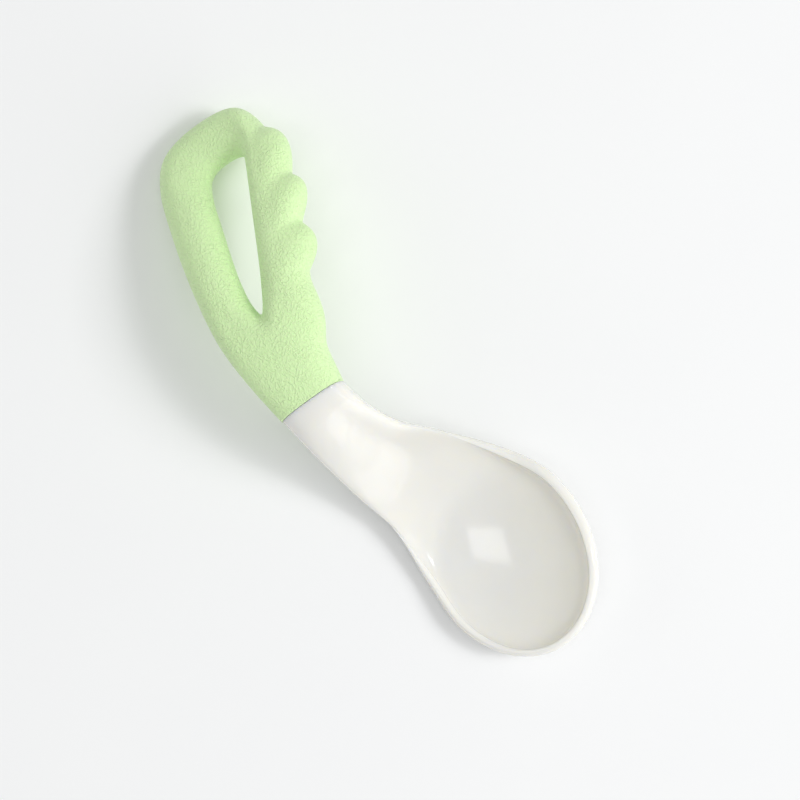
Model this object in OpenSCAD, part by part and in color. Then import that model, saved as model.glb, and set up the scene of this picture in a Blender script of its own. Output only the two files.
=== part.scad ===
/* [Bowl] */
// Length of the bowl, from its heel to its tip
bowl_long = 47.5; // [45:0.5:50]
// Width of the bowl
bowl_wide = 37; // [34:0.5:40]
// Depth of the bowl, from its rim to its underside
bowl_deep = 7.2; // [6.8:0.1:8.2]
// Thickness of the bowl's wall
wall = 1.9; // [1.6:0.1:2.2]

/* [Handle] */
// Thickness of the loop's bars
bar_thick = 9.4; // [8.6:0.1:10.2]
// How far the finger bumps stand out
bump_high = 2.6; // [1.6:0.1:3.2]
// Thickness of the soft skin over the core
skin = 2.1; // [1.8:0.1:2.4]

/* [Tang] */
// Length of the tang inside the handle
tang_long = 13; // [11:0.5:14]
// Width of the tang
tang_wide = 7.6; // [6.6:0.2:8]
// Thickness of the tang
tang_thick = 3.2; // [2.6:0.1:3.4]

/* [Hidden] */

// The spoon is drawn as it rests: on the bowl's underside and the handle's end.
// All stations are measured from the middle of the bowl's rim.
half_long = bowl_long / 2;
half_wide = bowl_wide / 2;
rim_turn = -8;          // heading of the bowl's long axis
rim_pitch = 0.1;        // rise of the rim towards the tip
roll = 0.21;            // rise of everything towards the finger bumps
lip_high = 2.4;         // height of the rounded rim
lip_wide = 1.5;         // width of the rounded rim
rest_flat = 0.15;       // depth of the small flat the bowl rests on

// Turns a point of the bowl's own outline to its heading
function on_bowl(p) = [p.x * cos(rim_turn) - p.y * sin(rim_turn),
                       p.x * sin(rim_turn) + p.y * cos(rim_turn)];

// The bowl's underside: its depth below the lip, at a share of the way from
// the middle to the rim
hull_deep = bowl_deep - lip_high;
hull_power = 1.5;       // between 1, an ellipse, and 2, a parabola
function hull(share) = hull_deep * pow(1 - share ^ 2, hull_power / 2);

// The lowest point of the tilted bowl, which becomes the origin
long_rise = half_long * (rim_pitch * cos(rim_turn) + roll * sin(rim_turn));
wide_rise = half_wide * (roll * cos(rim_turn) - rim_pitch * sin(rim_turn));
tilt = norm([long_rise, wide_rise]);
shares = [0:0.005:1];
rest_depth = max([for (share = shares) hull(share) + tilt * share]);
rest_share = max([for (share = shares) if (hull(share) + tilt * share == rest_depth) share]);
rest_at = concat(
    on_bowl([half_long * long_rise, half_wide * wide_rise] * rest_share / tilt),
    [lip_high + rest_depth - rest_flat]);

// Neck stations, from the joint with the handle to the heel of the bowl:
// middle x, y, z, half width, heading of the cross line,
// crown of the top, dip of the top, depth of the underside, shift of the dip,
// and how much of the bowl's rounded rim it has
neck = [
    [-50.1, -16.1, 12.0, 7.5, 90, 4.9, 0.0, 4.9, 0.00, 0],
    [-45.6, -15.4, 11.0, 7.6, 97, 4.8, 0.4, 4.9, 0.08, 0.1],
    [-41.1, -14.5, 8.5, 7.9, 104, 4.5, 1.2, 4.9, 0.15, 0.25],
    [-32.4, -11.8, 1.7, 9.4, 117, 3.8, 3.6, 5.0, 0.25, 0.5],
    [-23.7, -7.5, -0.2, 12.0, 122, 2.0, 4.6, 5.4, 0.15, 0.75]];
joint = [neck[0].x, neck[0].y, neck[0].z];
joint_lean = 0.15;      // lean of the joint face towards the handle
arch_rise = 0.142;      // rise of the handle at the joint
arch_bend = 0.00664;    // how fast it turns down further on

// A smooth curve through the points of a list, u counted in points
function blend(a, b, c, d, t) =
    b + t / 2 * (c - a + t * (2 * a - 5 * b + 4 * c - d + t * (3 * (b - c) + d - a)));
function along(p, u) =
    let (last = len(p) - 1, i = min(floor(u), last - 1),
         before = i > 0 ? p[i - 1] : 2 * p[0] - p[1],
         after = i < last - 1 ? p[i + 2] : 2 * p[last] - p[last - 1])
    blend(before, p[i], p[i + 1], after, u - i);
function around(p, u) =
    let (n = len(p), i = floor(u))
    blend(p[(i - 1 + n) % n], p[i % n], p[(i + 1) % n], p[(i + 2) % n], u - i);

// The outline of the head: left edge of the neck, round the bowl, right edge
turn = 30;
first_turn = -92;
function neck_edge(s, side) =
    [s[0] + side * s[3] * cos(s[4]), s[1] + side * s[3] * sin(s[4]), s[2] + side * s[3] * roll];
function rim_point(t) =
    concat(on_bowl([half_long * cos(t), half_wide * sin(t)]),
        [long_rise * cos(t) + wide_rise * sin(t)]);
outline = concat(
    [for (s = neck) neck_edge(s, -1)],
    [for (k = [0:8]) rim_point(first_turn + turn * k)],
    [for (k = [len(neck) - 1:-1:0]) neck_edge(neck[k], 1)]);
side_steps = (len(outline) - 1) / 2;

// The middle of each cross line: x, y, z, crown, dip, depth, shift, share of
// the rounded rim
heel = (rim_point(first_turn) + rim_point(first_turn + 8 * turn)) / 2;
middle = concat(
    [for (s = neck) [s[0], s[1], s[2], s[5], s[6], s[7], s[8], s[9]]],
    [[heel.x, heel.y, heel.z, 0.4, 7.9 / 8.3 * (bowl_deep - wall), 0.93 * bowl_deep, 0, 1]],
    [[0, 0, 0, 0, bowl_deep - wall, bowl_deep, 0, 1]]);
function middle_at(u) = along(middle, min(u, len(middle) - 1));

// One column of points: from the middle of the underside, out to the rim,
// over it, and back along the top to the middle
under_rows = 12;
lip_rows = 4;
top_rows = 14;
rows = under_rows + lip_rows + top_rows;
function column(c, n) =
    let (u = side_steps * 2 * c / n,
         uu = min(u, side_steps * 2 - u),
         m = middle_at(uu),
         edge = along(outline, u),
         mid = [m[0], m[1], m[2]],
         other = along(outline, side_steps * 2 - u),
         right = u > side_steps ? edge : other,
         left = u > side_steps ? other : edge,
         top_mid = mid + m[6] * (right - left) / 2,
         bowl = m[7],
         high = lip_high * bowl,
         square = oval + (1 - oval) * bowl,
         inward = (mid - edge) / norm(mid - edge),
         up = [0, roll * (bowl - 1), 1],
         lean = [-joint_lean, 0, 0] * max(0, 1 - uu),
         raw = concat(
            [for (j = [0:under_rows - 1]) let (a = 90 * j / under_rows)
                mid + (edge - mid) * pow(sin(a), square)
                - up * (high + (m[5] - high) * pow(cos(a), oval + (hull_power - oval) * bowl))],
            [for (j = [0:lip_rows]) let (a = 90 * j / lip_rows)
                edge + inward * lip_wide * bowl * (1 - cos(a)) - up * high * (1 - sin(a))],
            [for (j = [1:top_rows]) let (a = 90 - 90 * j / top_rows,
                    inner = edge + inward * lip_wide * bowl)
                top_mid + (inner - top_mid) * pow(sin(a), square)
                + up * (m[3] * pow(cos(a), square) - m[4] * pow(cos(a), 4 - 3 * bowl))]))
    [for (p = raw) let (q = p + lean * (p.z - joint.z))
        [q.x, q.y, max(q.z, -rest_at.z)]];

module head_skin() {
    per_side = 40;
    n = 2 * per_side;
    points = [for (c = [0:n]) each column(c, n)];
    fan = ceil(per_side * (len(middle) - 1) / side_steps);
    function merged(c) = min(c, n - c, fan);
    function at(c, j) = (j == 0 || j == rows ? merged(c) : c) * (rows + 1) + j;
    function quad(a, b, c, d) = [if (a != b && b != c) [a, b, c], if (a != d && d != c) [a, c, d]];
    sides = [for (c = [0:n - 1], j = [0:rows - 1])
        each quad(at(c, j), at(c, j + 1), at(c + 1, j + 1), at(c + 1, j))];
    cap = [for (j = [0:rows - 1])
        each quad(at(n, j), at(n, j + 1), at(0, j + 1), at(0, j))];
    polyhedron(points, concat(sides, cap));
}

// A bar round the tang's line, which runs from the joint into the handle.
// It starts a little inside the neck
tang_rise = arch_rise - arch_bend * tang_long;
tang_start = 2;
module tang_bar(extra, reach) {
    translate(joint)
        rotate(180)
            rotate([0, -atan(tang_rise), 0])
                rotate([-atan(roll), 0, 0])
                    translate([-tang_start, -tang_wide / 2 - extra, -tang_thick / 2 - extra])
                        cube([tang_start + reach, tang_wide + 2 * extra, tang_thick + 2 * extra]);
}

// Stations round the loop: inner edge x, y, outer edge x, y
loop = [
    [-71.4, -14.6,  -36.2, -16.1],
    [-71.7, -15.1,  -42.7, -22.4],
    [-72.4, -15.4,  -51.2, -24.0],
    [-74.0, -15.6,  -61.6, -25.5],
    [-76.8, -15.5,  -71.5, -26.0],
    [-82.4, -14.5,  -82.9, -24.6],
    [-90.8, -12.3,  -95.0, -22.0],
    [-98.5, -10.1, -106.0, -18.6],
    [-102.8, -7.4, -112.1, -13.3],
    [-103.6, -2.4, -113.9,  -3.4],
    [-102.0,  0.8, -111.8,   5.7],
    [-97.0,  -1.0, -103.4,   8.1],
    [-88.0,  -5.4,  -92.5,   6.9],
    [-80.6,  -9.1,  -81.1,   2.2],
    [-76.0, -11.6,  -70.0,  -3.0],
    [-73.6, -12.9,  -60.1,  -6.8],
    [-72.3, -13.7,  -51.2,  -8.4],
    [-71.6, -14.2,  -42.7,  -9.8]];

// Height of the handle's middle surface, an arch tilted like the bowl, and
// the direction square to it
handle_turn = 0.185;    // how far the handle's middle turns back
function arch(p) =
    let (s = joint.x - p.x, q = p.y - joint.y - handle_turn * s)
    joint.z + arch_rise * s - arch_bend * s ^ 2 + roll * q;
function arch_up(p) =
    let (s = joint.x - p.x,
         n = [arch_rise - 2 * arch_bend * s - handle_turn * roll, -roll, 1])
    n / norm(n);

// Finger bumps: [start, end, height, sharpness of the ends]
bumps = [
    [-105.4, -93.2, 1.0, 1],
    [ -93.2, -83.3, 1.0, 1],
    [ -83.3, -73.2, 1.0, 1],
    [ -73.2, -56.6, 0.6, 1.6]];
valley = 0.2;           // roundness of the valleys between them
function swell(t, sharp) =
    (norm([pow(sin(180 * t), sharp), valley]) - valley) / (norm([1, valley]) - valley);
function bump(x) = max([for (b = bumps)
    x > b[0] && x < b[1] ? b[2] * bump_high * swell((x - b[0]) / (b[1] - b[0]), b[3]) : 0]);

// Dents in the top and the underside where each bump starts: [place, depth]
dents = [[-105.4, 1.2], [-93.2, 1.2], [-83.3, 0.9], [-73.2, 0.5]];
dent_reach = 5;
function dent(x) = max([for (d = dents)
    abs(x - d[0]) < dent_reach ? d[1] * cos(90 * (x - d[0]) / dent_reach) ^ 2 : 0]);

// Height of the skin, from 0 to 1, at a distance from a rounded edge
function rounding(d, r) = d >= r ? 1 : sqrt(1 - (1 - d / r) ^ 2);

// The same across the root, where the handle is one solid oval from its
// left edge to its right edge
oval = 0.75;            // squareness of the oval, as a power
root_rows = 5;          // stations on each side of the joint that bound the root
left_edge = [for (u = [0:0.25:root_rows]) let (s = around(loop, u)) [s[2], s[3]]];
right_edge = [for (u = [0:0.25:root_rows]) let (s = around(loop, len(loop) - u)) [s[2], s[3]]];
function root_dome(p) =
    let (edge_y = lookup(p.x, p.y < joint.y ? left_edge : right_edge),
         across = min(1, (p.y - joint.y) / (edge_y - joint.y)))
    pow(1 - pow(across, 2 / oval), oval / 2);

// How much a point belongs to the root: 1 at the joint, 0 along the bars
root_long = 26;
root_fade = 13;
function root_share(p) =
    let (t = min(1, max(0, (root_long - joint.x + p.x) / root_fade)))
    t ^ 2 * (3 - 2 * t);

// Points round one section of the loop. inset is the depth below the skin,
// most_half the most it may reach to each side of the bar's middle
bar_half = bar_thick / 2 + 0.2;
root_extra = 0.5;      // how much thicker the root is, each side
function section(u, inset, sides, most_half) =
    let (s = around(loop, u),
         inner = [s[0], s[1]],
         outer = [s[2], s[3]],
         centre = (inner + outer) / 2,
         reach = norm(outer - inner) / 2,
         out = (outer - inner) / (2 * reach),
         half = min(reach - inset, most_half),
         edge = min(half, bar_half - inset),
         fingers = inset == 0 && out.y > 0.3)
    [for (j = [0:sides - 1])
        let (a = 360 * j / sides,
             flat = centre + out * half * cos(a),
             side = max(0, cos(a)),
             p = flat + out * (fingers ? bump(outer.x) : 0) * pow(side, 1.3),
             far = rounding(half * (1 - cos(a)), edge),
             near = rounding(half * (1 + cos(a)), edge),
             root = root_share(flat),
             high = bar_thick / 2 - inset + root_extra * root - (fingers ? dent(outer.x) * side : 0),
             lift = high * sign(sin(a)) * near * (far + root * (root_dome(flat) - far)))
        [p.x, p.y, arch(p)] + arch_up(p) * lift];

module ring(inset, steps, sides, most_half) {
    n = len(loop) * steps;
    points = [for (c = [0:n - 1]) each section(c / steps, inset, sides, most_half)];
    function at(c, j) = (c % n) * sides + j % sides;
    polyhedron(points, [for (c = [0:n - 1], j = [0:sides - 1])
        each [[at(c, j), at(c + 1, j + 1), at(c, j + 1)], [at(c, j), at(c + 1, j), at(c + 1, j + 1)]]]);
}

// Everything on the bowl's side of the joint face, as a block big enough
module past_joint(gap) {
    big = 60;
    translate(joint)
        rotate([0, -atan(joint_lean), 0])
            translate([-gap, -big / 2, -big / 2])
                cube(big);
}

fit_gap = 0.05;         // play round the tang
seam = 0.2;             // gap seen between the head and the grip
core_half = 2.8;        // half width of the core's bars
whole_bar = 100;        // more than any bar's half width
socket_wall = 1.2;      // wall round the tang, and past its end
module core_solid() {
    difference() {
        union() {
            ring(skin, 5, 12, core_half);
            tang_bar(socket_wall, tang_long + 4 * socket_wall);
        }
        past_joint(0);
    }
}

module spoon_head() {
    color("white") {
        head_skin();
        tang_bar(0, tang_long);
    }
}

module handle_core() {
    color("gray") difference() {
        core_solid();
        tang_bar(fit_gap, tang_long + fit_gap);
    }
}

module grip() {
    color("palegreen") difference() {
        ring(0, 7, 24, whole_bar);
        core_solid();
        past_joint(seam);
    }
}

module place() {
    translate(rest_at) children();
}

place() spoon_head();
place() handle_core();
place() grip();
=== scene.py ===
# %% [markdown]
# # A baby spoon
#
# The real spoon is two mouldings. A stiff, glossy white one makes the bowl and
# the neck. A soft green one is moulded round the handle's hidden core, and its
# mould leaves a fine grain on it.
#
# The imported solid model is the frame. It is exact but faceted, so here the two
# pieces that show are drawn again as smooth surfaces from the same outlines,
# and then given their finishes. The hidden core stays as the frame has it.

import math
from types import SimpleNamespace

import bmesh
import bpy
import numpy as np
from mathutils import Matrix, Vector


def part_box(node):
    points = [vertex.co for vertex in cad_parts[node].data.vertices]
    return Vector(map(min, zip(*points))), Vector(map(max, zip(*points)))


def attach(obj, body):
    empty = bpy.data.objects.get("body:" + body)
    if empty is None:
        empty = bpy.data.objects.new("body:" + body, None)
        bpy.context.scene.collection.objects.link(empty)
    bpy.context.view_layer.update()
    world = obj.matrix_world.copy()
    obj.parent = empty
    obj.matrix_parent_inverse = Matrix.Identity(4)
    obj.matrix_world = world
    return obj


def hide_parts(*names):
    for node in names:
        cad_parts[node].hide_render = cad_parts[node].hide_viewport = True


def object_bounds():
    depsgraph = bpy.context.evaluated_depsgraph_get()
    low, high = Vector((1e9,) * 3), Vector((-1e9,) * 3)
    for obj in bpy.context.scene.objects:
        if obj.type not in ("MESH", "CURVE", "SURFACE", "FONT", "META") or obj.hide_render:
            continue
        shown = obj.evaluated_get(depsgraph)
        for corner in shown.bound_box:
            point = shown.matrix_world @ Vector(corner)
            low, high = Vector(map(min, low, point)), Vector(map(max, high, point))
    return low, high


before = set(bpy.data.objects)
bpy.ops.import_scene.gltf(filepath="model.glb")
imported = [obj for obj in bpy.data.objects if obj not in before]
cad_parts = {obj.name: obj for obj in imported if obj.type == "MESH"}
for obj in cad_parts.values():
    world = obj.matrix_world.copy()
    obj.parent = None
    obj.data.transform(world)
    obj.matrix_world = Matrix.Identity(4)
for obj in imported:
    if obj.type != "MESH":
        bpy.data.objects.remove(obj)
cad_low, cad_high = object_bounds()
MM = 0.001
print("frame size in mm:", [round(side / MM, 1) for side in cad_high - cad_low])

# %% [markdown]
# ## Curves
#
# Both pieces are described by a few stations, each a row of numbers. They could
# be the cage under a Subdivision Surface modifier, but its surface would shrink
# away from them, and the sizes with it. So a curve that passes through all the
# rows gives every section between them. It takes whole arrays of places at
# once, and a fine surface costs no more lines than a coarse one.

# %% Curves through stations


def blend(a, b, c, d, t):
    """The curve from b to c whose slopes come from its neighbours a and d, at the share t of the way."""
    return b + t / 2 * (c - a + t * (2 * a - 5 * b + 4 * c - d + t * (3 * (b - c) + d - a)))


def along(rows, u):
    """An open curve through rows, where u = 0 is the first row and u = 1 the second."""
    last = len(rows) - 1
    ends = [2 * rows[0] - rows[1]], [2 * rows[last] - rows[last - 1]]
    padded = np.vstack([ends[0], rows, ends[1]])
    i = np.clip(np.floor(u).astype(int), 0, last - 1)
    return blend(padded[i], padded[i + 1], padded[i + 2], padded[i + 3], (u - i)[..., None])


def around(rows, u):
    """A closed curve through rows, back to the first one after the last."""
    n = len(rows)
    i = np.floor(u).astype(int)
    near = [rows[(i + step) % n] for step in (-1, 0, 1, 2)]
    return blend(*near, (u - i)[..., None])


def smooth_step(share):
    """A share from 0 to 1, eased at both ends: three times its square, less twice its cube."""
    t = np.clip(share, 0, 1)
    return t**2 * (3 - 2 * t)


merge_within = 0.001 * MM


def piece_from_grid(name, points, close_rows, close_columns, edit=None, sharp_angle=40):
    """A mesh of four-sided faces between neighbouring points of a grid (rows, columns, 3) in mm.
    Points that share a place are joined, then edit may change the mesh. All faces are turned outwards,
    and edges sharper than sharp_angle degrees stay crisp."""
    rows, columns = points.shape[:2]
    r = np.arange(rows if close_rows else rows - 1)[:, None]
    c = np.arange(columns if close_columns else columns - 1)[None, :]
    r_next = (r + 1) % rows
    c_next = (c + 1) % columns
    corners = [r * columns + c, r * columns + c_next, r_next * columns + c_next, r_next * columns + c]
    faces = np.stack(corners, axis=-1).reshape(-1, 4)
    mesh = bpy.data.meshes.new(name)
    mesh.from_pydata(points.reshape(-1, 3) * MM, [], faces)
    editable = bmesh.new()
    editable.from_mesh(mesh)
    bmesh.ops.remove_doubles(editable, verts=editable.verts, dist=merge_within)
    if edit:
        edit(editable)
    bmesh.ops.recalc_face_normals(editable, faces=editable.faces)
    editable.to_mesh(mesh)
    editable.free()
    mesh.shade_smooth()
    mesh.set_sharp_from_angle(angle=math.radians(sharp_angle))
    piece = bpy.data.objects.new(name, mesh)
    bpy.context.scene.collection.objects.link(piece)
    return piece


# %% [markdown]
# ## How the spoon lies
#
# The spoon rests on the underside of its bowl and on the end of its handle. So
# the bowl's rim is tilted: up towards the tip, and up towards the side with
# the finger bumps. The height of the rim's middle over the table follows from
# the lowest point of the tilted underside, less the small flat it rests on.
# All stations are in mm from that middle, and the frame's box tells where it is.

# %% Place and tilt of the bowl
half_long = 23.75
half_wide = 18.5
rim_turn = math.radians(-8)
rim_pitch = 0.1
roll = 0.21
bowl_deep = 7.2
wall = 1.9
lip_high = 2.4
lip_wide = 1.5
hull_power = 1.5
rest_flat = 0.15

turn_cos = math.cos(rim_turn)
turn_sin = math.sin(rim_turn)
long_rise = half_long * (rim_pitch * turn_cos + roll * turn_sin)
wide_rise = half_wide * (roll * turn_cos - rim_pitch * turn_sin)
share = np.linspace(0, 1, 201)
hull = (bowl_deep - lip_high) * (1 - share**2) ** (hull_power / 2)
rest_depth = np.max(hull + math.hypot(long_rise, wide_rise) * share)

_, head_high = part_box("spoon_head")
tip_reach = math.hypot(half_long * turn_cos, half_wide * turn_sin)
side_reach = math.hypot(half_long * turn_sin, half_wide * turn_cos)
rim_height = lip_high + rest_depth - rest_flat
rim_middle = np.array([head_high.x / MM - tip_reach, head_high.y / MM - side_reach, rim_height])
print("middle of the rim, mm in the frame:", rim_middle.round(2))


def on_bowl(x, y):
    """Turns a point of the bowl's own outline to its heading."""
    return x * turn_cos - y * turn_sin, x * turn_sin + y * turn_cos


def rim_points(degrees):
    """Points of the rim at these angles round the bowl, 0 at the tip: an ellipse, tilted along and across."""
    t = np.radians(degrees)
    x, y = on_bowl(half_long * np.cos(t), half_wide * np.sin(t))
    return np.stack([x, y, long_rise * np.cos(t) + wide_rise * np.sin(t)], axis=-1)


# %% [markdown]
# ## The head
#
# The head is one glossy moulding of bowl and neck. The two could be modelled
# apart and joined with a Boolean, but the join would show as a crease in the
# gloss, so here they are one surface. Its outline runs up the left edge of the
# neck, round the bowl and back down the right edge. For every point of that
# outline, one column of points goes from the middle of the underside out to the
# rim, over its round edge, and back along the top. In the neck the top is
# crowned, with a shallow valley near its right edge, and it turns into the bowl
# without a step, as the photo shows.
#
# Three things are drawn a little finer here than in the frame, by about a
# millimetre at most: the valley's place, the lip, which is wider on the right
# than on the left, and the floor of the bowl, which is one even oval hollow so
# that its reflections stay clean.

# %% Stations of the neck
# One row for each place along the neck: middle x, y, z, half width, heading of the cross line in degrees,
# crown of the top, dip of the top, depth of the underside, sideways shift of the dip from the middle as a
# share of the half width, and the share of the bowl's form, 0 at the joint and 1 in the bowl.
neck = np.array([
    [-50.1, -16.1, 12.0, 7.5, 90, 4.9, 0.0, 4.9, 0.00, 0],
    [-45.6, -15.4, 11.0, 7.6, 97, 4.8, 0.7, 4.9, 0.00, 0.1],
    [-41.1, -14.5, 8.5, 7.9, 104, 4.5, 1.8, 4.9, 0.05, 0.25],
    [-32.4, -11.8, 1.7, 9.4, 117, 3.8, 3.8, 5.0, 0.15, 0.5],
    [-23.7, -7.5, -0.2, 12.0, 122, 2.0, 4.6, 5.4, 0.15, 0.75],
])
joint = neck[0, :3]
joint_lean = 0.15


def neck_edge(side):
    """The neck's left (-1) or right (1) edge: from the middle of each station, half its width out along its
    cross line."""
    heading = np.radians(neck[:, 4])
    reach = side * neck[:, 3]
    across = np.stack([np.cos(heading), np.sin(heading), np.full(len(neck), roll)], axis=-1)
    return neck[:, :3] + reach[:, None] * across


rim_start = -92
rim_step = 30
rim = rim_points(rim_start + rim_step * np.arange(9))
outline = np.vstack([neck_edge(-1), rim, neck_edge(1)[::-1]])
side_steps = (len(outline) - 1) / 2

heel = (rim[0] + rim[-1]) / 2
inner_deep = bowl_deep - wall
# The middle line runs on into the bowl. Its rows hold x, y, z, crown, dip, depth, shift and share of bowl.
neck_middle = np.column_stack([neck[:, :3], neck[:, 5:]])
heel_crown = 0.4
heel_dip = 0.95 * inner_deep
heel_depth = 0.93 * bowl_deep
heel_middle = [*heel, heel_crown, heel_dip, heel_depth, 0, 1]
bowl_middle = [0, 0, 0, 0, inner_deep, bowl_deep, 0, 1]
middle = np.vstack([neck_middle, heel_middle, bowl_middle])
print("outline points:", len(outline), " middle stations:", len(middle))

# %% The floor of the bowl
floor_from = -20
floor_to = -10
floor_edge = 0.9
floor_fade = 0.5


def bowl_floor(x, y):
    """Height at x, y of an even oval hollow, which is half an ellipsoid hung from the tilted rim, and how
    much the head's top should follow it: fully from floor_to on, not at all before floor_from or close to
    the rim."""
    local_x = x * turn_cos + y * turn_sin
    local_y = y * turn_cos - x * turn_sin
    share_x = local_x / (half_long - lip_wide)
    share_y = local_y / (half_wide - lip_wide)
    far = share_x**2 + share_y**2
    tilted = long_rise * share_x + wide_rise * share_y
    inside = smooth_step((local_x - floor_from) / (floor_to - floor_from))
    follow = inside * smooth_step((floor_edge - far) / floor_fade)
    return tilted - inner_deep * np.sqrt(np.clip(1 - far, 0, 1)), follow


print("floor under the rim's middle, mm:", bowl_floor(0.0, 0.0)[0].round(2))

# %% What every column of the head needs
oval_power = 0.75
lip_uneven = 0.6
lip_until = 3.0
rim_round = 0.35
rim_soft = 1.0
head_columns = 360


def quarter(count):
    """Angles from 0 up to a right angle, without it, as one row in radians."""
    return np.radians(np.linspace(0, 90, count, endpoint=False))[None]


def along_head():
    """The outline points u with their station values, one row for each column of the grid. side is -1 at
    the bowl's left and 1 at its right. The lip grows from nothing in the neck and is wider on the right."""
    u = np.linspace(0, 2 * side_steps, head_columns + 1)
    from_joint = np.minimum(u, 2 * side_steps - u)
    row = along(middle, np.minimum(from_joint, len(middle) - 1))
    bowl = row[:, 7:8]
    side = np.sin(np.radians(rim_start + rim_step * (u - len(neck))))[:, None]
    lip_share = bowl * smooth_step(1 - row[:, 3:4] / lip_until)
    edge = along(outline, u)
    mid = row[:, :3]
    flat = np.zeros_like(bowl)
    return SimpleNamespace(
        mid=mid, edge=edge, other=along(outline, 2 * side_steps - u), is_right=(u > side_steps)[:, None],
        crown=row[:, 3:4], dip=row[:, 4:5], depth=row[:, 5:6], shift=row[:, 6:7], bowl=bowl,
        near_joint=np.clip(1 - from_joint, 0, None)[:, None],
        inward=(mid - edge) / np.linalg.norm(mid - edge, axis=1)[:, None],
        up=np.hstack([flat, roll * (bowl - 1), flat + 1]),
        power=oval_power + (1 - oval_power) * bowl, high=lip_high * bowl,
        wide=lip_share * (lip_wide + lip_uneven * side),
        soft=lip_share * (rim_round + rim_soft * np.clip(-side, 0, 1) ** 2))


def across_head(h, base, target, share, height):
    """Points at these shares of the way from base to target, raised by height. One row per column."""
    flat = base[:, None] + (target - base)[:, None] * share[..., None]
    return flat + h.up[:, None] * height[..., None]


def over_edge(h, inwards, drop):
    """Points this far inwards from the outline and this far below it. One row per column."""
    return h.edge[:, None] + h.inward[:, None] * inwards[..., None] - h.up[:, None] * drop[..., None]


print("columns of the head:", head_columns + 1)

# %% The stretches of a column
under_rows = 48
lip_rows = 16
inside_rows = 6
top_rows = 64
valley_place = 0.5
valley_wide = 0.38
hollow_from = 0.25
hollow_fade = 0.5
hollow_power = 4


def underside(h):
    """From the middle out to the edge. The depth falls off as an oval in the neck, as a hull in the bowl."""
    a = quarter(under_rows)
    fall_power = oval_power + (hull_power - oval_power) * h.bowl
    height = -h.high - (h.depth - h.high) * np.cos(a) ** fall_power
    return across_head(h, h.mid, h.edge, np.sin(a) ** h.power, height)


def lip(h):
    """A quarter round, up and inwards, over the lip."""
    a = quarter(lip_rows)
    return over_edge(h, h.wide * (1 - np.cos(a)), h.high * (1 - np.sin(a)))


def lip_inside(h):
    """A small quarter round from the lip's top down into the bowl."""
    a = quarter(inside_rows)
    return over_edge(h, h.wide + h.soft * np.sin(a), h.soft * (1 - np.cos(a)))


def top(h):
    """From the lip back to the middle. In the neck it is a crown, less a valley shaped like a bell curve, and
    in the bowl a hollow that deepens with the cosine. Over the floor it takes the floor's own height."""
    a = np.radians(np.linspace(90, 0, top_rows))[None]
    out = np.sin(a) ** h.power
    across = h.shift + (np.where(h.is_right, 1, -1) - h.shift) * out
    neck_valley = np.exp(-(((across - valley_place) / valley_wide) ** 2)) * (1 - across**2)
    bowl_hollow = np.cos(a) ** (hollow_power - (hollow_power - 1) * h.bowl)
    opened = smooth_step((h.bowl - hollow_from) / hollow_fade)
    hollow = h.soft + (h.dip - h.soft) * (neck_valley + (bowl_hollow - neck_valley) * opened)
    right = np.where(h.is_right, h.edge, h.other)
    left = np.where(h.is_right, h.other, h.edge)
    top_mid = h.mid + h.shift * (right - left) / 2
    inner = h.edge + h.inward * (h.wide + h.soft)
    points = across_head(h, top_mid, inner, out, h.crown * np.cos(a) ** h.power - hollow)
    floor, follow = bowl_floor(points[..., 0], points[..., 1])
    points[..., 2] += (floor - points[..., 2]) * follow
    return points


print("points in a column:", under_rows + lip_rows + inside_rows + top_rows)

# %% The head's surface
def head_points():
    """Grid of the head's surface, a column for each outline point. The neck's end leans over to lie in the
    joint's face, and what would reach below the table is pressed flat on it."""
    h = along_head()
    points = np.concatenate([underside(h), lip(h), lip_inside(h), top(h)], axis=1)
    points[..., 0] -= joint_lean * h.near_joint * (points[..., 2] - joint[2])
    points[..., 2] = np.maximum(points[..., 2], -rim_middle[2])
    return points + rim_middle


head = piece_from_grid("head", head_points(), close_rows=True, close_columns=False)
print("head faces:", len(head.data.polygons))

# %% [markdown]
# ## The tang
#
# On the real spoon the head has to be held inside the handle. A flat bar, the
# tang, runs from the neck into a socket in the core. It never shows, but the
# two mouldings would part without it. The head's surface could be drawn out
# into it, but a plain box that starts inside the neck is simpler and keeps the
# frame's sizes.

# %% The tang, a plain bar inside the handle
# length with the part inside the neck, width, thickness; and how far inside the neck it starts
tang_size = np.array([15, 7.6, 3.2])
tang_start = 2
arch_rise = 0.142
arch_bend = 0.00664
tang_rise = arch_rise - arch_bend * (tang_size[0] - tang_start)


def tang_points():
    """A box's corners as a grid of four rings, pinched shut at both ends and turned to enter the handle."""
    ring = np.array([[-1, -1], [1, -1], [1, 1], [-1, 1]]) / 2
    ends = [(0, 0), (0, 1), (1, 1), (1, 0)]
    local = np.array([[[x * tang_size[0] - tang_start, y * k * tang_size[1], z * k * tang_size[2]]
                       for y, z in ring] for x, k in ends])
    side = np.array([0, -1, -roll]) / math.hypot(1, roll)
    ahead = np.array([-1, 0, tang_rise])
    ahead = ahead / np.linalg.norm(ahead)
    up = np.cross(ahead, side)
    return local @ np.array([ahead, side, up]) + joint + rim_middle


tang = piece_from_grid("tang", tang_points(), close_rows=False, close_columns=True)
print("tang box, mm:", [round(side / MM, 1) for side in tang.dimensions])

# %% [markdown]
# ## The grip
#
# The grip is the soft skin of the handle's loop. A curve with a round bevel
# would make a loop too, but the real one is broad at its root and slim along
# its sides. So the stations go once round the loop, and each gives a point on
# the opening's edge and one on the outer edge. The section between them is a
# rounded bar. Near the joint the two bars run together into one solid oval
# root. The bars lie on an arch that is tilted like the bowl. Four finger bumps
# swell the outer edge on one side, with a shallow dent between each pair. The
# inner wall of the loop's far end slants more here than in the frame, as the
# photo shows.

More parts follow.
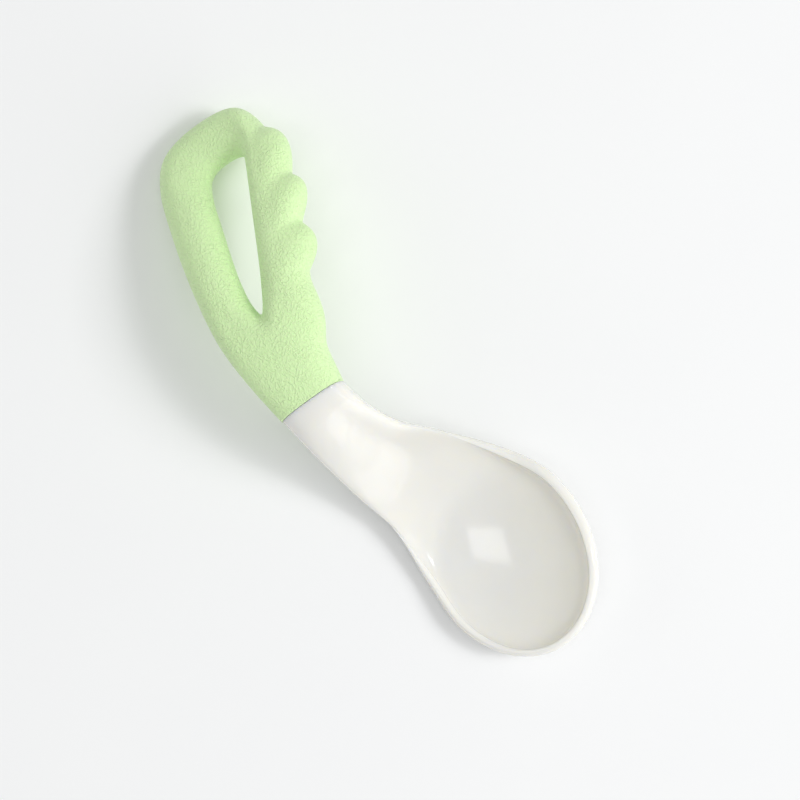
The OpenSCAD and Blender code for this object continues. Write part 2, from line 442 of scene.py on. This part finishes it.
# %% Stations of the loop
# inner edge x, y, outer edge x, y
loop = np.array([
    [-71.4, -14.6, -36.2, -16.1],
    [-71.7, -15.1, -42.7, -22.4],
    [-72.4, -15.4, -51.2, -24.0],
    [-74.0, -15.6, -61.6, -25.5],
    [-76.8, -15.5, -71.5, -26.0],
    [-82.4, -14.5, -82.9, -24.6],
    [-90.8, -12.3, -95.0, -22.0],
    [-98.5, -10.1, -106.0, -18.6],
    [-102.8, -7.4, -112.1, -13.3],
    [-103.6, -2.4, -113.9, -3.4],
    [-102.0, 0.8, -111.8, 5.7],
    [-97.0, -1.0, -103.4, 8.1],
    [-88.0, -5.4, -92.5, 6.9],
    [-80.6, -9.1, -81.1, 2.2],
    [-76.0, -11.6, -70.0, -3.0],
    [-73.6, -12.9, -60.1, -6.8],
    [-72.3, -13.7, -51.2, -8.4],
    [-71.6, -14.2, -42.7, -9.8],
])
edge_steps = 200


def outer_edge(first, last):
    """Fine points x, y of the outer edge between two stations, in order of rising x."""
    points = around(loop, np.linspace(first, last, edge_steps))[:, 2:]
    return points[np.argsort(points[:, 0])].T


left_x, left_y = outer_edge(0, 5)
right_x, right_y = outer_edge(len(loop) - 5, len(loop))
print("root is this wide at the joint, mm:",
      round(np.interp(joint[0], right_x, right_y) - np.interp(joint[0], left_x, left_y), 2))

# %% Finger bumps and the dents between them
bump_high = 2.6
bump_foot = 0.2
# start x, end x, height, sharpness of the ends
bumps = [(-105.4, -93.2, 1.0, 1), (-93.2, -83.3, 1.0, 1), (-83.3, -73.2, 1.0, 1), (-73.2, -56.6, 0.6, 1.6)]
# x, depth
dents = [(-105.4, 1.2), (-93.2, 1.2), (-83.3, 0.9), (-73.2, 0.5)]
dent_reach = 5


def bump(x):
    """How far the finger bumps stand out at x. Each is half a wave, with its foot rounded into a valley."""
    high = np.zeros_like(x)
    for start, end, share, power in bumps:
        t = np.clip((x - start) / (end - start), 0, 1)
        swell = np.hypot(np.sin(np.pi * t) ** power, bump_foot) - bump_foot
        high = np.maximum(high, share * bump_high * swell / (math.hypot(1, bump_foot) - bump_foot))
    return high


def dent(x):
    """How deep the top sinks between the bumps at x. Each dent fades as the square of a cosine."""
    deep = np.zeros_like(x)
    for place, depth in dents:
        t = np.clip((x - place) / dent_reach, -1, 1)
        deep = np.maximum(deep, depth * np.cos(np.pi / 2 * t) ** 2)
    return deep


print("bumps:", len(bumps), " dents:", len(dents))

# %% The arch of the handle
handle_turn = 0.185


def arch(x, y):
    """The handle's middle surface at x, y, as points in space, and the direction square to it. Its height is
    a parabola along the handle, plus the slope of the roll across it."""
    s = joint[0] - x
    q = y - joint[1] - handle_turn * s
    z = joint[2] + arch_rise * s - arch_bend * s**2 + roll * q
    along_x = arch_rise - 2 * arch_bend * s - handle_turn * roll
    square_to_it = np.stack([along_x, np.full_like(s, -roll), np.ones_like(s)], -1)
    return np.stack([x, y, z], -1), square_to_it / np.linalg.norm(square_to_it, axis=-1, keepdims=True)


left_line, _ = arch(left_x, left_y)
print("left edge's highest point, mm over the table:", round(np.max(left_line[:, 2]) + rim_middle[2], 1))

# %% The sections of the grip
bar_thick = 9.4
round_extra = 0.2
bar_round = bar_thick / 2 + round_extra
root_extra = 0.5
root_long = 26
root_fade = 13
end_wall_from = -94
end_wall_fade = 8
end_wall_slant = 1.0
bump_power = 1.3
# a section carries the fingers where the share of its outward direction along +Y is above this
finger_side = 0.3


def rounding(distance, radius):
    """Height, from 0 to 1, at this distance from an edge that is rounded as a quarter circle."""
    return np.sqrt(1 - (1 - np.clip(distance / radius, 0, 1)) ** 2)


def root_dome(x, y):
    """Height, from 0 to 1, of the solid root: half an oval, from its left edge over the middle to its right
    edge."""
    is_left = y < joint[1]
    edge_y = np.where(is_left, np.interp(x, left_x, left_y), np.interp(x, right_x, right_y))
    half_width = edge_y - joint[1]
    # The loop's first station lies on the middle line, so the root has no width there to divide by.
    across = np.clip((y - joint[1]) / np.where(half_width == 0, 1, half_width), 0, 1)
    return (1 - across ** (2 / oval_power)) ** (oval_power / 2)


def grip_points(stations, sides):
    """Grid of the grip's surface: a row for each section round the loop, a column for each place round a
    section. A section is a bar with round edges, which turns into the oval of the root near the joint."""
    s = around(loop, np.linspace(0, len(loop), stations, endpoint=False))[:, None]
    inner, outer = s[..., :2], s[..., 2:]
    reach = np.linalg.norm(outer - inner, axis=-1) / 2
    out = (outer - inner) / (2 * reach[..., None])
    a = np.linspace(0, 2 * np.pi, sides, endpoint=False)[None]
    round_edge = np.minimum(reach, bar_round)
    has_fingers = out[..., 1] > finger_side
    side = np.maximum(0, np.cos(a))
    flat = (inner + outer) / 2 + out * (reach * np.cos(a))[..., None]
    swell = np.where(has_fingers, bump(outer[..., 0]), 0) * side**bump_power
    swollen = flat + out * swell[..., None]
    at_end = smooth_step((end_wall_from - inner[..., 0]) / end_wall_fade)
    far = rounding(reach * (1 - np.cos(a)), round_edge)
    near = rounding(reach * (1 + np.cos(a)), round_edge * (1 + end_wall_slant * at_end))
    root = smooth_step((root_long - joint[0] + flat[..., 0]) / root_fade)
    sink = np.where(has_fingers, dent(outer[..., 0]), 0) * side
    high = bar_thick / 2 + root_extra * root - sink
    dome = root_dome(flat[..., 0], flat[..., 1])
    lift = high * np.sign(np.sin(a).round(9)) * near * (far + root * (dome - far))
    middle_surface, square_to_it = arch(swollen[..., 0], swollen[..., 1])
    return middle_surface + square_to_it * lift[..., None] + rim_middle


# %% The grip's surface
seam = 0.2
joint_out = np.array([1, 0, joint_lean]) / math.hypot(1, joint_lean)
joint_place = joint + rim_middle - seam * joint_out


def cut_at_joint(editable):
    """Cuts off what lies past the joint face and closes the cut with one flat face."""
    everything = [*editable.verts, *editable.edges, *editable.faces]
    cut = bmesh.ops.bisect_plane(
        editable, geom=everything, dist=merge_within / 2, plane_co=joint_place * MM, plane_no=joint_out,
        clear_outer=True)
    edges = [item for item in cut["geom_cut"] if isinstance(item, bmesh.types.BMEdge)]
    bmesh.ops.contextual_create(editable, geom=edges)


grip_grid = grip_points(stations=720, sides=96)
grip = piece_from_grid("grip_skin", grip_grid, close_rows=True, close_columns=True, edit=cut_at_joint)
print("grip faces:", len(grip.data.polygons))
print("smooth grip, mm:", [[round(v / MM, 1) for v in grip.bound_box[k]] for k in (0, 6)])

# %% [markdown]
# ## The rounded edge at the joint
#
# A soft skin can't be moulded to a knife edge. Where it ends against the white
# neck it has a fine rounded lip, which catches the light in the photo. A Bevel
# modifier could round the cut edge, but it would only take something away, and
# the real lip stands slightly proud. So it is a thin bead that runs round the
# end of the skin.

# %% The bead round the grip's end
bead_round = 0.32
bead_proud = 0.06
bead_gap = 0.06
joint_moves = 4


def joint_outline(turns, inside):
    """Points round the skin's end face, on an oval this far inside its edge, as a closed line in mm. Each
    point's x is moved joint_moves times, until the point lies in the joint's face."""
    half_left = joint[1] - np.interp(joint[0], left_x, left_y)
    half_right = np.interp(joint[0], right_x, right_y) - joint[1]
    half = np.where(np.cos(turns) > 0, half_right, half_left) - inside
    thick = bar_thick / 2 + root_extra - inside
    y = joint[1] + half * np.sign(np.cos(turns)) * np.abs(np.cos(turns)) ** oval_power
    lift = thick * np.sign(np.sin(turns)) * np.abs(np.sin(turns)) ** oval_power
    x = np.full_like(y, joint[0] - seam)
    for _ in range(joint_moves):
        flat, square_to_it = arch(x, y)
        line = flat + square_to_it * lift[:, None] + rim_middle
        x = x - (line - joint_place) @ joint_out / joint_out[0]
    return line


def bead_points(steps, sides):
    """A thin tube round the end of the skin: a circle at each step, spanned by the direction outwards and the
    direction of the joint."""
    turns = np.linspace(0, 2 * np.pi, steps, endpoint=False)
    line = joint_outline(turns, bead_round - bead_proud) + joint_out * (seam - bead_gap - bead_round)
    ahead = np.roll(line, -1, axis=0) - np.roll(line, 1, axis=0)
    outwards = np.cross(ahead, joint_out)
    outwards = outwards / np.linalg.norm(outwards, axis=1, keepdims=True)
    a = np.linspace(0, 2 * np.pi, sides, endpoint=False)[None, :, None]
    return line[:, None] + bead_round * (outwards[:, None] * np.cos(a) + joint_out * np.sin(a))


bead = piece_from_grid("grip_edge", bead_points(steps=240, sides=16), close_rows=True, close_columns=True)
print("bead box, mm:", [round(side / MM, 1) for side in bead.dimensions])

# %% [markdown]
# ## Tools for the finishes
#
# A finish is a small net of shader nodes. Effects that more than one finish
# needs are groups with named inputs and outputs. They put out only numbers and
# colours, and each material keeps its own shader.

# %% Helpers for shader nodes


def add(tree, kind, **values):
    """A new node. A value is linked or set on the input of that name, or set as the node's own choice."""
    node = tree.nodes.new(kind)
    for name, value in values.items():
        label = name.replace("_", " ").lower()
        socket = next((s for s in node.inputs if s.name.lower() == label and s.enabled), None)
        if socket is None:
            setattr(node, name, value)
        elif isinstance(value, bpy.types.NodeSocket):
            tree.links.new(value, socket)
        else:
            socket.default_value = value
    return node


def arithmetic(tree, operation, *values):
    """One sum on numbers or sockets."""
    node = add(tree, "ShaderNodeMath", operation=operation)
    for socket, value in zip(node.inputs, values):
        if isinstance(value, bpy.types.NodeSocket):
            tree.links.new(value, socket)
        else:
            socket.default_value = value
    return node.outputs[0]


def spread(tree, value, low, high, to_low, to_high):
    """Turns the range low to high into to_low to to_high."""
    ends = {"from_min": low, "from_max": high, "to_min": to_low, "to_max": to_high}
    return add(tree, "ShaderNodeMapRange", value=value, **ends).outputs[0]


def mix_color(tree, share, first, second):
    """A colour between first and second."""
    node = tree.nodes.new("ShaderNodeMix")
    node.data_type = "RGBA"
    tree.links.new(share, node.inputs["Factor"])
    for label, value in (("A", first), ("B", second)):
        socket = next(s for s in node.inputs if s.name == label and s.type == "RGBA")
        if isinstance(value, bpy.types.NodeSocket):
            tree.links.new(value, socket)
        else:
            socket.default_value = (*value, 1)
    return next(s for s in node.outputs if s.type == "RGBA")


def group(name, inputs, outputs):
    """An empty shader group. inputs and outputs give a socket kind and a starting value for each name."""
    tree = bpy.data.node_groups.new(name, "ShaderNodeTree")
    for label, (kind, value) in inputs.items():
        socket = tree.interface.new_socket(label, in_out="INPUT", socket_type=kind)
        if value is not None:
            socket.default_value = value
    for label in outputs:
        tree.interface.new_socket(label, in_out="OUTPUT", socket_type="NodeSocketFloat")
    return tree, tree.nodes.new("NodeGroupInput").outputs, tree.nodes.new("NodeGroupOutput").inputs


def use(tree, effect, **values):
    """Puts a group into a material, with its inputs set or linked."""
    node = tree.nodes.new("ShaderNodeGroup")
    node.node_tree = effect
    for name, value in values.items():
        socket = node.inputs[name.replace("_", " ")]
        if isinstance(value, bpy.types.NodeSocket):
            tree.links.new(value, socket)
        else:
            socket.default_value = value
    return node.outputs


# %% [markdown]
# Nothing moulded is one flat colour. The first group gives a slow, cloudy
# unevenness of the size it is told. The second gives the fine wiry scratches
# that any handled plastic gets.

# %% Group: uneven tone
uneven, given, result = group(
    "uneven_tone",
    {"Place": ("NodeSocketVector", None), "Size mm": ("NodeSocketFloat", 10.0),
     "Seed": ("NodeSocketFloat", 0.0)},
    ["Tone"])
fineness = arithmetic(uneven, "DIVIDE", 1 / MM, given["Size mm"])
cloud = add(uneven, "ShaderNodeTexNoise", noise_dimensions="4D", vector=given["Place"], scale=fineness,
            w=given["Seed"], detail=4.0, roughness=0.55)
uneven.links.new(spread(uneven, cloud.outputs["Fac"], 0.3, 0.7, 0, 1), result["Tone"])

# %% Group: fine scratches
scratches, given, result = group(
    "fine_scratches",
    {"Place": ("NodeSocketVector", None), "Seed": ("NodeSocketFloat", 0.0)},
    ["Scratch"])
turned = add(scratches, "ShaderNodeMapping", vector=given["Place"])
turned.inputs["Rotation"].default_value = (0.4, 0.3, 1.1)
turned.inputs["Scale"].default_value = (60, 1900, 1900)
wires = add(scratches, "ShaderNodeTexNoise", noise_dimensions="4D", vector=turned.outputs[0], scale=1.0,
            w=given["Seed"], detail=2.0, distortion=0.6)
thin = spread(scratches, wires.outputs["Fac"], 0.66, 0.74, 0, 1)
scratches.links.new(thin, result["Scratch"])
print("groups:", [tree.name for tree in bpy.data.node_groups])

# %% [markdown]
# ## The white head
#
# The head is a hard food-safe plastic from a polished mould: glossy, nearly
# white, and light passes a few millimetres into it. Red light goes further than
# blue, so the shaded wall of the bowl glows a little warm. Its reflections waver
# slightly, because a thick moulding shrinks unevenly as it cools. A plain white
# under a clear coat would render faster, but it would look like enamel.

# %% Head material


def start_material(name, color):
    """A material with its shader and the piece's own coordinates. color is what the solid view shows."""
    material = bpy.data.materials.new(name)
    material.use_nodes = True
    material.diffuse_color = (*color, 1)
    tree = material.node_tree
    shader = tree.nodes["Principled BSDF"]
    place = tree.nodes.new("ShaderNodeTexCoord").outputs["Object"]
    return material, tree, shader, place


head_white, tree, shader, place = start_material("head_plastic", (0.86, 0.85, 0.82))
tone = use(tree, uneven, Place=place, Size_mm=14.0)["Tone"]
scratch = use(tree, scratches, Place=place)["Scratch"]
deep_white = (0.832, 0.824, 0.785)
pale_white = (0.852, 0.845, 0.81)
white = mix_color(tree, tone, deep_white, pale_white)
tree.links.new(white, shader.inputs["Base Color"])
polish = spread(tree, tone, 0, 1, 0.07, 0.11)
scratch_dull = 0.08
dull = arithmetic(tree, "MULTIPLY_ADD", scratch, scratch_dull, polish)
tree.links.new(dull, shader.inputs["Roughness"])
waver = use(tree, uneven, Place=place, Size_mm=9.0, Seed=4.0)["Tone"]
ripple = add(tree, "ShaderNodeBump", height=waver, strength=0.25, distance=0.03 * MM)
tree.links.new(ripple.outputs[0], shader.inputs["Normal"])
shader.inputs["IOR"].default_value = 1.5
shader.inputs["Subsurface Weight"].default_value = 0.75
shader.inputs["Subsurface Radius"].default_value = (1.0, 0.92, 0.72)
shader.inputs["Subsurface Scale"].default_value = 2.4 * MM
print(head_white.name, "nodes:", len(tree.nodes))

# %% [markdown]
# ## The green grip
#
# The grip is a soft, rubbery plastic. Its mould was etched, so its skin is
# covered with low, uneven pebbles and with fine, wiry ridges that wander over
# them. The ridges are drawn where a noise crosses its middle value, as the
# contour lines on a map are. The hollows are painted a little darker in colour
# than the tops. This is painted shade in the hollows and a painted highlight on
# the tops. The hollows are also a little duller than the tops, and the relief is
# stronger in some places than in others. An image of the grain would need the
# loop laid out flat, and its seams would show. Noise in the piece's own space has none.

# %% Grip material: the grain
grip_green, tree, shader, place = start_material("grip_rubber", (0.62, 0.86, 0.42))
in_mm = add(tree, "ShaderNodeVectorMath", operation="SCALE", vector=place, scale=1 / MM).outputs[0]
wander = add(tree, "ShaderNodeTexNoise", vector=in_mm, scale=1.1, detail=2.0).outputs["Color"]
shifted = add(tree, "ShaderNodeVectorMath", operation="MULTIPLY_ADD")
tree.links.new(wander, shifted.inputs[0])
shifted.inputs[1].default_value = (0.9, 0.9, 0.9)
tree.links.new(in_mm, shifted.inputs[2])
pebbles = add(tree, "ShaderNodeTexVoronoi", feature="SMOOTH_F1", vector=shifted.outputs[0], scale=1.5,
              smoothness=0.6).outputs["Distance"]
pebble_high = spread(tree, pebbles, 0.05, 0.6, 1, 0)
contours = add(tree, "ShaderNodeTexNoise", vector=in_mm, scale=1.15, detail=1.5, roughness=0.5).outputs["Fac"]
off_middle = arithmetic(tree, "ABSOLUTE", arithmetic(tree, "SUBTRACT", contours, 0.5))
ridges = spread(tree, off_middle, 0, 0.12, 1, 0)
grain = arithmetic(tree, "MULTIPLY_ADD", ridges, 0.6, arithmetic(tree, "MULTIPLY", pebble_high, 0.5))
patchy = use(tree, uneven, Place=place, Size_mm=7.0, Seed=2.0)["Tone"]
grain_depth = spread(tree, patchy, 0, 1, 0.6, 1.15)
skin_bump = add(tree, "ShaderNodeBump", height=arithmetic(tree, "MULTIPLY", grain, grain_depth),
                strength=1.0, distance=0.17 * MM)
tree.links.new(skin_bump.outputs[0], shader.inputs["Normal"])
print("nodes for the grain:", len(tree.nodes))

# %% Grip material: colour and softness
grain_top = spread(tree, grain, 0.35, 0.95, 0, 1)
cloudy = use(tree, uneven, Place=place, Size_mm=16.0, Seed=7.0)["Tone"]
# Painted shade and painted highlight: the grain's hollows get a darker green and its tops a lighter one,
# though the rubber is one colour.
shaded_hollow_green = (0.70, 0.94, 0.488)
lit_top_green = (0.72, 0.95, 0.508)
cloud_green = (0.735, 0.95, 0.535)
skin_color = mix_color(tree, grain_top, shaded_hollow_green, lit_top_green)
tinted = mix_color(tree, arithmetic(tree, "MULTIPLY", cloudy, 0.25), skin_color, cloud_green)
tree.links.new(tinted, shader.inputs["Base Color"])
tree.links.new(spread(tree, grain_top, 0, 1, 0.65, 0.55), shader.inputs["Roughness"])
shader.inputs["IOR"].default_value = 1.45
shader.inputs["Subsurface Weight"].default_value = 0.06
shader.inputs["Subsurface Radius"].default_value = (0.6, 1.0, 0.4)
shader.inputs["Subsurface Scale"].default_value = 1.2 * MM
shader.inputs["Sheen Weight"].default_value = 0.2
print(grip_green.name, "nodes:", len(tree.nodes))

# %% [markdown]
# ## The hidden core
#
# The core is a plain insert that no one sees. A surface of its own would be
# wasted on it, so it keeps the frame's mesh and gets only a finish, the dull
# skin of a mould that wasn't polished.

# %% Core material
core_gray, tree, shader, place = start_material("core_plastic", (0.8, 0.8, 0.78))
tone = use(tree, uneven, Place=place, Size_mm=6.0, Seed=9.0)["Tone"]
deep_gray = (0.76, 0.76, 0.73)
pale_gray = (0.82, 0.82, 0.80)
tree.links.new(mix_color(tree, tone, deep_gray, pale_gray), shader.inputs["Base Color"])
tree.links.new(spread(tree, tone, 0, 1, 0.45, 0.6), shader.inputs["Roughness"])
print(core_gray.name, "nodes:", len(tree.nodes))

# %% [markdown]
# ## Tell the frame what each piece is
#
# The smooth pieces take the place of the faceted ones in the picture. All ride
# on the one body, because nothing on a spoon moves.

# %% Assign pieces
for piece, material, slot in (
        (head, head_white, "head_plastic"), (tang, head_white, "head_plastic"),
        (grip, grip_green, "grip_rubber"), (bead, grip_green, "grip_rubber")):
    piece.data.materials.append(material)
    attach(piece, "root")
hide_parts("spoon_head")
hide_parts("grip")
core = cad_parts["handle_core"]
core.data.materials.clear()
core.data.materials.append(core_gray)
for piece in (head, tang, grip, bead, core):
    print(piece.name, "faces:", len(piece.data.polygons))

# %% [markdown]
# ## Table
#
# The photo was taken from straight above, on a plain, nearly white table. One
# flat square that reaches far past the picture is enough. The background is as
# pale as this square's own colour, and needs no extra light on the spoon.

# %% Table
table_half = 1500 * MM
table_mesh = bpy.data.meshes.new("table")
corners = [(x * table_half, y * table_half, 0) for x, y in ((-1, -1), (1, -1), (1, 1), (-1, 1))]
table_mesh.from_pydata(corners, [], [(0, 1, 2, 3)])
table = bpy.data.objects.new("table", table_mesh)
bpy.context.scene.collection.objects.link(table)
table_white, tree, shader, place = start_material("table_white", (0.92, 0.93, 0.94))
tone = use(tree, uneven, Place=place, Size_mm=60.0, Seed=12.0)["Tone"]
deep_paint = (0.920, 0.926, 0.934)
pale_paint = (0.930, 0.936, 0.942)
paint = mix_color(tree, tone, deep_paint, pale_paint)
tree.links.new(paint, shader.inputs["Base Color"])
shader.inputs["Roughness"].default_value = 0.75
shader.inputs["Specular IOR Level"].default_value = 0.2
table_mesh.materials.append(table_white)
print("table, m across:", 2 * table_half)

# %% [markdown]
# ## Light
#
# The shadows in the photo lie to the left of the handle, so the main lamp is a
# softbox to the right, 44 degrees above the table, with a small bright heart
# that leaves the sparkle in the bowl. A wide, low one at the lower right gives
# the neck its soft shine, and a weak one on the left keeps the shaded sides
# from going dull. The glossy bowl mirrors a panel over the table as a small
# diamond. A bright, even room fills the rest, which is why a white spoon on a
# white table has only faint shadows.
#
# The main lamp and the top one aren't mirrored in the spoon. They stand for a
# bright studio, whose walls leave no outline in the real spoon's gloss.

# %% Where a lamp stands
view_turn = math.radians(56)
image_right = np.array([math.cos(view_turn), math.sin(view_turn), 0])
image_up = np.array([-math.sin(view_turn), math.cos(view_turn), 0])
spoon_middle = np.array([(cad_low.x + cad_high.x) / 2, (cad_low.y + cad_high.y) / 2, 0])
lamp_far = 1.6


def softbox(name, heading, height, width, length, power, spin=0, mirrored=True):
    """A rectangular lamp that faces the spoon. heading is measured in the picture, from the right, and height
    above the table, both in degrees. spin turns the lamp about its own axis. Sizes are in metres, power in
    watts, and a lamp that isn't mirrored leaves no reflection of itself."""
    turn = math.radians(heading)
    rise = math.radians(height)
    towards = (image_right * math.cos(turn) + image_up * math.sin(turn)) * math.cos(rise)
    towards = towards + np.array([0, 0, math.sin(rise)])
    lamp = bpy.data.lights.new(name, "AREA")
    lamp.shape = "RECTANGLE"
    lamp.size = width
    lamp.size_y = length
    lamp.energy = power
    holder = bpy.data.objects.new(name, lamp)
    holder.location = spoon_middle + towards * lamp_far
    facing = Vector(towards).to_track_quat("Z", "Y")
    spun = Matrix.Rotation(math.radians(spin), 3, "Z").to_quaternion()
    holder.rotation_euler = (facing @ spun).to_euler()
    holder.visible_glossy = mirrored
    bpy.context.scene.collection.objects.link(holder)


# %% Lamps
softbox("key_softbox", heading=2, height=44, width=0.6, length=0.6, power=9.4, mirrored=False)
softbox("key_heart", heading=2, height=46, width=0.2, length=0.2, power=2.0)
softbox("top_softbox", heading=90, height=86, width=0.8, length=0.8, power=3.2, mirrored=False)
softbox("low_softbox", heading=-32, height=22, width=1.6, length=1.0, power=5.0)
softbox("left_softbox", heading=178, height=28, width=1.0, length=0.6, power=1.2)
softbox("overhead_panel", heading=-150, height=70, width=0.43, length=0.24, power=1.1, spin=69)
print("lamps, W:", {lamp.name: round(lamp.energy, 1) for lamp in bpy.data.lights})

# %% Room
world = bpy.data.worlds.new("room")
bpy.context.scene.world = world
world.use_nodes = True
room = world.node_tree
background = room.nodes["Background"]
seen = room.nodes.new("ShaderNodeLightPath").outputs["Is Camera Ray"]
room_light = 0.452
backdrop = 1.0
room.links.new(spread(room, seen, 0, 1, room_light, backdrop), background.inputs["Strength"])
room_tone = mix_color(room, seen, (0.99, 0.995, 0.985), (0.95, 0.955, 0.965))
room.links.new(room_tone, background.inputs["Color"])
print("room light:", room_light)

# %% [markdown]
# ## Camera
#
# The camera looks straight down from about half a metre. Its place and its turn
# come from matching the photo's outline to the spoon lying on the table.

# %% Camera
picture_middle = (-34.0 * MM, 8.0 * MM)
camera_high = 480 * MM
picture_wide = 176 * MM
camera_data = bpy.data.cameras.new("camera")
camera_data.sensor_fit = "HORIZONTAL"
camera_data.angle = 2 * math.atan(picture_wide / 2 / camera_high)
camera = bpy.data.objects.new("camera", camera_data)
camera.location = (*picture_middle, camera_high)
camera.rotation_euler = (0, 0, view_turn)
bpy.context.scene.collection.objects.link(camera)
bpy.context.scene.camera = camera
bpy.context.scene.view_settings.view_transform = "Standard"
print("camera, degrees across:", round(math.degrees(camera_data.angle), 1))
